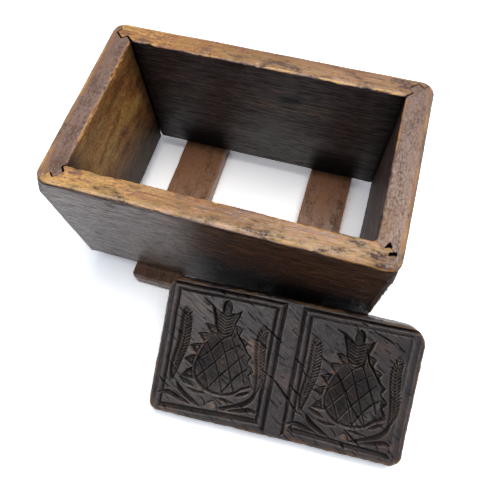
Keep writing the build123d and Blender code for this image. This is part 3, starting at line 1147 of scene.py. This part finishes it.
def carve_ear(carving, spine, half_widths, cut):
    """An ear of grain: a shallow hollow with paired slanting cuts down both sides of a spine."""
    run = smooth_run(spine, 40)
    ways = np.gradient(run, axis=0)
    ways /= np.linalg.norm(ways, axis=1)[:, None]
    lengths = np.concatenate([[0], np.cumsum(np.linalg.norm(np.diff(run, axis=0), axis=1))])
    halves = np.interp(lengths / lengths[-1], np.linspace(0, 1, len(half_widths)), half_widths)
    sides = np.stack([-ways[:, 1], ways[:, 0]], axis=1)
    left, right = run + sides * halves[:, None], run - sides * halves[:, None]
    carving.pocket(np.vstack([left, right[::-1]])[::4], 0.35 * cut, 0.8)
    turns = np.linspace(0, 2 * math.pi, 16)
    notch = run[18] + halves[18] * np.stack([np.cos(turns), np.sin(turns)], axis=1)
    carving.pocket(notch, cut, 1.2, lean=(-0.4, 1))
    carving.gouge((run - sides * halves[:, None] * 0.6)[::20], 3.4, 0.7 * cut, (0.6, 0.3))
    floor = carving.depth.copy()
    for length in np.arange(5.2, lengths[-1] - 0.5, EAR_PITCH):
        i = int(np.searchsorted(lengths, length))
        for side in (left[i], right[i]):
            carving.gouge([run[i], side - ways[i] * EAR_REACH], 1.15, 0.6 * cut, (0.8, 0.4), onto=floor)
    carving.gouge(run[::20], 1.3, cut, (0.7, 0.3))


def carve_fruit(carving, at):
    """The pineapple: a hollow fruit with crossing cuts, toothed sepals and a crown of three leaves."""
    for tooth in LEFT_TEETH + RIGHT_TEETH:
        tip, above, below = np.array(at(tooth))
        inward = 0.22 * (above + below - 2 * tip)
        carving.pocket([tip, above, above + inward, below + inward, below], TOOTH_CUT, 0.7)
        carving.gouge([tip, (tip + above) / 2 + (0, 0.5), above], 1.9, 2.3, (0.3, 0.8), count=6)
    for tooth in LEFT_TEETH[:3]:
        tip, _, below = np.array(at(tooth))
        carving.brown(0.3 * tip + 0.7 * below, 2.8, 0.8)

    carving.pocket(smooth_run(at(FRUIT), 6), FRUIT_CUT, 1.1)
    away = np.linalg.norm((carving.places - at([BOWL_MIDDLE])) / BOWL_REACH, axis=1)
    bowl = np.flatnonzero(away < 1)
    carving.deepen(bowl, FRUIT_CUT + BOWL_CUT * (1 - away[bowl] ** 2))
    carving.ridge(at(RIDGE), 0.5)
    floor = carving.depth.copy()
    for line in LATTICE:
        carving.gouge(at(line), LATTICE_WIDTH, LATTICE_CUT, (0.7, 0.7), count=8, onto=floor)

    carving.pocket(at(CROWN), CROWN_CUT, 0.9)
    for controls, width, cut, taper in CROWN_STROKES:
        carving.gouge(at(controls), width, cut, taper)
    neck = carving.depth.copy()
    for row in range(NECK_ROWS):
        foot = NECK_FOOT + NECK_PITCH * row
        for start, end in ((-0.8, -4.9), (-0.4, 3.6)):
            row_line = at([(start, foot), (end, foot + 2.3)])
            carving.gouge(row_line, NECK_WIDTH, NECK_CUT, (0.7, 0.3), onto=neck)
    carving.gouge(at(RIGHT_CUT), 2.4, 3.2, (0.4, 0.3))
    carving.check(at(RIGHT_CUT), 1.1, 0.3)


def carve_foot(carving, at):
    """Long leaves that sweep up from the foot of the fruit, and the cup that it stands on."""
    for controls, width, cut, taper in FOOT_STROKES:
        carving.gouge(at(controls), width, cut, taper)
    carving.pocket(smooth_run(at(CUP), 4), CUP_CUT, 1.2, lean=(0, 1))


def carve_plate(carving):
    """Both framed panels, the brown patches, and the checks across the plate."""
    for low, high, middle, outer_cuts, inner_cuts, ear_cuts in PANELS:
        def at(spots):
            """Places of one panel's pattern on the plate."""
            return [(middle[0] + x, middle[1] + y) for x, y in spots]

        carve_frame(carving, low, high, outer_cuts, inner_cuts)
        for (spine, half_widths), cut in zip(EARS, ear_cuts):
            carve_ear(carving, at(spine), half_widths, cut)
        carve_fruit(carving, at)
        carve_foot(carving, at)
        for place, radius, strength in PANEL_BROWN:
            carving.brown(at([place])[0], radius, strength)

    for place, radius, strength in PLATE_BROWN:
        carving.brown(place, radius, strength)
    for run in LONG_CHECKS:
        carving.check(run, LONG_CHECK_WIDTH, LONG_CHECK_CUT)
    random = np.random.default_rng(11)
    for _ in range(SHORT_CHECKS):
        start = random.uniform((-72, -38), (70, 39))
        slant = math.radians(random.normal(CHECK_SLANT, 7))
        way = np.array((math.cos(slant), math.sin(slant))) * random.uniform(2.0, 8.0)
        carving.check([start, start + way], random.uniform(0.42, 0.75), SHORT_CHECK_CUT)


def plate_blank(context, length, width, thickness, step):
    """A plate in millimetres, with a fine flat face, and sides and a back drawn down from the face's edge."""
    bpy.ops.object.select_all(action="DESELECT")
    columns, rows = round(length / step), round(width / step)
    bpy.ops.mesh.primitive_grid_add(x_subdivisions=columns, y_subdivisions=rows, size=1)
    piece = context.object
    piece.name = piece.data.name = "carved_print_plate"
    piece.scale = (length, width, 1)
    bpy.ops.object.transform_apply(location=False, rotation=False, scale=True)
    bpy.ops.object.mode_set(mode="EDIT")
    bpy.ops.mesh.select_all(action="SELECT")
    bpy.ops.mesh.region_to_loop()
    for drop in (PLATE_EDGE, 2.0, 3.0, 3.0, thickness - PLATE_EDGE - 9.0, 0.5, 0.5):
        bpy.ops.mesh.extrude_region_move(TRANSFORM_OT_translate={"value": (0, 0, -drop)})
    bpy.ops.mesh.edge_face_add()
    close_shell()
    return piece


def round_corners(places, half):
    """Turn the squares at the plate's corners into quarter circles, and return how far in each place is."""
    flat = places[:, :2].copy()
    inset = (half - np.abs(flat)).min(axis=1)
    for sides, radius in PLATE_CORNERS.items():
        beyond = flat * sides - (half - radius)
        chosen = (beyond > 0).all(axis=1)
        b = beyond[chosen]
        b = b * (b.max(axis=1) / np.maximum(np.linalg.norm(b, axis=1), 1e-9))[:, None]
        places[chosen, :2] = sides * (half - radius + b)
        inset[chosen] = radius - np.linalg.norm(b, axis=1)
    return np.maximum(inset, 0)


class MOULD_OT_print_plate(bpy.types.Operator):
    """Model the carved print plate, leaning in front of the box"""

    bl_idname = "mould.print_plate"
    bl_label = "Print plate"

    def execute(self, context):
        settings = context.scene.mould_plate
        length, width, thickness = (s / MM for s in settings.size)
        piece = plate_blank(context, length, width, thickness, settings.step / MM)
        mesh = piece.data
        places = points_of(mesh)
        z = places[:, 2].copy()
        face = z > -1e-6
        half = np.array((length / 2, width / 2))
        inset = round_corners(places, half)

        # Worn outline, with the upper right corner shrunk a little, then the rounded edge of the face
        shares = places[:, :2] / half
        outward = np.sign(shares) * ramp(np.abs(shares), 0.9, 1.0)
        ragged = 0.9 * (cloud(places * (1, 1, 0.3), 15, 5.5) - 0.5) + 0.7 * (cloud(places, 4, 9.5) - 0.5)
        places[:, :2] -= outward * (0.1 + ragged)[:, None]
        places[:, 1] -= 1.1 * ramp(places[:, 0], 10, half[0]) * ramp(places[:, 1], 0, half[1])
        edge_width = PLATE_EDGE * (0.8 + 0.9 * cloud(places, 12, 4.4)) * (1 + ramp(-places[:, 1], 30, 38))
        over = np.clip(1 - inset / edge_width, 0, 1)
        fall = PLATE_EDGE * (1 - np.sqrt(1 - over**2))

        carving = Carving(places[face][:, :2].copy(), settings.depth)
        carve_plate(carving)
        cut, checks, tan = (np.zeros(len(places)) for _ in range(3))
        cut[face], checks[face], tan[face] = carving.depth, carving.checks, carving.tan
        uneven = 0.2 * (cloud(places, 9, 3.3) - 0.5) + 0.14 * (cloud(places, 2.2, 6.1) - 0.5)
        places[:, 2] += np.where(face, uneven - cut - fall, 0)
        places[z < -(thickness - 0.75), :2] *= 1 - BACK_EDGE / half
        move_points(mesh, places)

        # Numbers for the material: painted shade and dirt in the cuts, worn lips beside them with a painted
        # highlight, checks, brown patches and rubbed edges
        rounded = spread(mesh, ramp(np.where(face, over, z > -PLATE_EDGE - 1), 0.2, 1.0), 3)
        proud = bulge(mesh, 4)
        # Proud lips beside the cuts: rubbed wood with a painted highlight
        worn_lit_lips = ramp(proud, 0.06, 0.3) * ramp(cloud(places, 13, 2.2), 0.2, 0.7) * face
        # Painted shade and dirt in cuts and hollows, darker in deeper cuts
        hollow = np.maximum(ramp(-proud, 0.05, 0.3), 0.6 * ramp(cut, 0.8, 4.5)) * face
        corners = ramp(np.abs(places[:, :2] / half).sum(axis=1), 1.55, 1.9)
        worn_sides = np.maximum(ramp(places[:, 0], 66, 73), 0.6 * ramp(-places[:, 1], 37.5, 40))
        patchy = ramp(cloud(places, 11, 8.8), 0.42, 0.72)
        rubbed = rounded * np.max([patchy, 0.8 * corners, worn_sides * (0.4 + 0.6 * patchy)], axis=0)
        tan = np.clip(tan * (0.4 + 1.2 * cloud(places, 2.5, 7.2)), 0, 1)
        note(mesh, recess=hollow, lip=0.7 * worn_lit_lips, check=checks, tan=tan, wear=0.9 * rubbed)
        flat_place = mesh.attributes.new("flat_place", "FLOAT_VECTOR", "POINT")
        flat_place.data.foreach_set("vector", (MM * places).astype(np.float32).ravel())

        low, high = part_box("print_plate")
        turn = Matrix.Rotation(settings.yaw, 4, "Z") @ Matrix.Rotation(settings.tilt, 4, "X")
        face_middle = (low + high) / 2 + turn @ Vector((0, 0, thickness / 2 * MM))
        mesh.transform(Matrix.Translation(face_middle) @ turn @ Matrix.Scale(MM, 4))
        grounds = [tuple(tone) for tone in (settings.ground_dark, settings.ground, settings.ground_light)]
        material = dark_carved_maple("dark carved maple", grounds, tuple(settings.bare))
        hand_over(piece, "plate", "plate_wood", material, "print_plate")
        return {"FINISHED"}


# Stage: the floor as it lights the object, as the camera sees it and where it fades, the room's tint and its
# glow in gloss, and each lamp's place, size and colour
FLOOR_SIZE = 6.0
FLOOR_LIT = (0.86, 0.87, 0.88, 1)
FLOOR_SEEN = (1.92, 1.94, 1.97, 1)
FLOOR_FADE = (0.35, 0.9)
WHITE = (1, 1, 1, 1)
ROOM_TINT = (0.86, 0.94, 1.06, 1)
ROOM_GLOW = 0.75
LAMPS = {
    "window": ((0.16, 0.24, 1.1), (0.8, 0.7), (1.0, 0.97, 0.92)),
    "panel": ((-0.27, -0.56, 1.0), (0.5, 0.45), (0.96, 0.98, 1.0)),
    "sheen": ((-0.27, -0.56, 1.0), (0.55, 0.5), (1.0, 0.94, 0.93)),
}


def paper_floor():
    """White paper, which the camera sees fade into the white room away from the object."""
    paper = bpy.data.materials.new("white paper floor")
    tree = cleared_tree(paper)
    ray = add(tree, "ShaderNodeLightPath").outputs
    seen = highest(tree, ray["Is Camera Ray"], ray["Is Glossy Ray"])
    colour = layered(tree, FLOOR_LIT, (seen, FLOOR_SEEN, "MIX"))
    place = add(tree, "ShaderNodeNewGeometry").outputs["Position"]
    away = add(tree, "ShaderNodeVectorMath", {0: place}, operation="LENGTH").outputs["Value"]
    near, far = FLOOR_FADE
    away = add(tree, "ShaderNodeMapRange", {"Value": away, "From Min": near, "From Max": far}).outputs[0]
    fade = add(tree, "ShaderNodeMath", {0: away, 1: ray["Is Camera Ray"]}, operation="MULTIPLY").outputs[0]
    finish_surface(
        tree, Base_Color=colour, Roughness=0.9, Specular_IOR_Level=0.1, Emission_Color=WHITE,
        Emission_Strength=fade)
    return paper


def soft_room(sky):
    """A white room that gives soft light of this strength from all round."""
    world = bpy.data.worlds.new("soft white room")
    tree = cleared_tree(world)
    ray = add(tree, "ShaderNodeLightPath").outputs
    glow = add(tree, "ShaderNodeMix", {0: ray["Is Glossy Ray"], 2: sky, 3: ROOM_GLOW}).outputs[0]
    strength = add(tree, "ShaderNodeMix", {0: ray["Is Camera Ray"], 2: glow, 3: 1.0}).outputs[0]
    tint = layered(tree, ROOM_TINT, (ray["Is Camera Ray"], WHITE, "MIX"))
    room = add(tree, "ShaderNodeBackground", {"Color": tint, "Strength": strength})
    add(tree, "ShaderNodeOutputWorld", {"Surface": room.outputs[0]})
    return world


class MOULD_OT_stage(bpy.types.Operator):
    """Set up the white floor, the soft light and the camera"""

    bl_idname = "mould.stage"
    bl_label = "Stage"

    def execute(self, context):
        scene, settings = context.scene, context.scene.mould_stage
        scene.view_settings.view_transform = "Standard"
        scene.world = soft_room(settings.sky)

        bpy.ops.object.select_all(action="DESELECT")
        bpy.ops.mesh.primitive_plane_add(size=FLOOR_SIZE)
        floor = context.object
        floor.name = "floor"
        floor.data.materials.append(paper_floor())

        for name, (place, (wide, high), colour) in LAMPS.items():
            bpy.ops.object.light_add(type="AREA", location=place)
            lamp = context.object
            lamp.name = name
            lamp.data.shape = "RECTANGLE"
            lamp.data.size, lamp.data.size_y = wide, high
            lamp.data.energy = getattr(settings, name)
            lamp.data.color = colour
            lamp.rotation_euler = (-lamp.location).to_track_quat("-Z", "Y").to_euler()
            lamp.visible_diffuse = name != "sheen"

        bpy.ops.object.camera_add(location=settings.camera_place)
        camera = context.object
        camera.name = "camera"
        camera.data.sensor_width = 36
        camera.data.lens = settings.lens
        camera.data.clip_start = 0.01
        look = Vector(settings.camera_aim) - Vector(settings.camera_place)
        turn = look.to_track_quat("-Z", "Y") @ Matrix.Rotation(settings.camera_roll, 3, "Z").to_quaternion()
        camera.rotation_euler = turn.to_euler()
        scene.camera = camera
        return {"FINISHED"}


class MOULD_PT_panel(bpy.types.Panel):
    """The mould's pieces and their settings"""

    bl_idname = "MOULD_PT_panel"
    bl_label = "Butter mould"
    bl_space_type = "VIEW_3D"
    bl_region_type = "UI"
    bl_category = "Butter mould"

    def draw(self, context):
        for settings, group in SETTINGS.items():
            box = self.layout.box()
            for name in group.__annotations__:
                box.prop(getattr(context.scene, settings), name)
        for operator in OPERATORS:
            self.layout.operator(operator.bl_idname)


SETTINGS = {
    "mould_boards": MouldBoardSettings,
    "mould_plate": MouldPlateSettings,
    "mould_stage": MouldStageSettings,
}
OPERATORS = (MOULD_OT_boards, MOULD_OT_slats, MOULD_OT_nails, MOULD_OT_print_plate, MOULD_OT_stage)
CLASSES = (*SETTINGS.values(), *OPERATORS, MOULD_PT_panel)


def register():
    for cls in CLASSES:
        bpy.utils.register_class(cls)
    for name, group in SETTINGS.items():
        setattr(bpy.types.Scene, name, PointerProperty(type=group))


def unregister():
    for name in SETTINGS:
        delattr(bpy.types.Scene, name)
    for cls in reversed(CLASSES):
        bpy.utils.unregister_class(cls)


def main():
    register()
    bpy.ops.mould.boards()
    bpy.ops.mould.slats()
    bpy.ops.mould.nails()
    bpy.ops.mould.print_plate()
    bpy.ops.mould.stage()


if __name__ == "__main__":
    main()
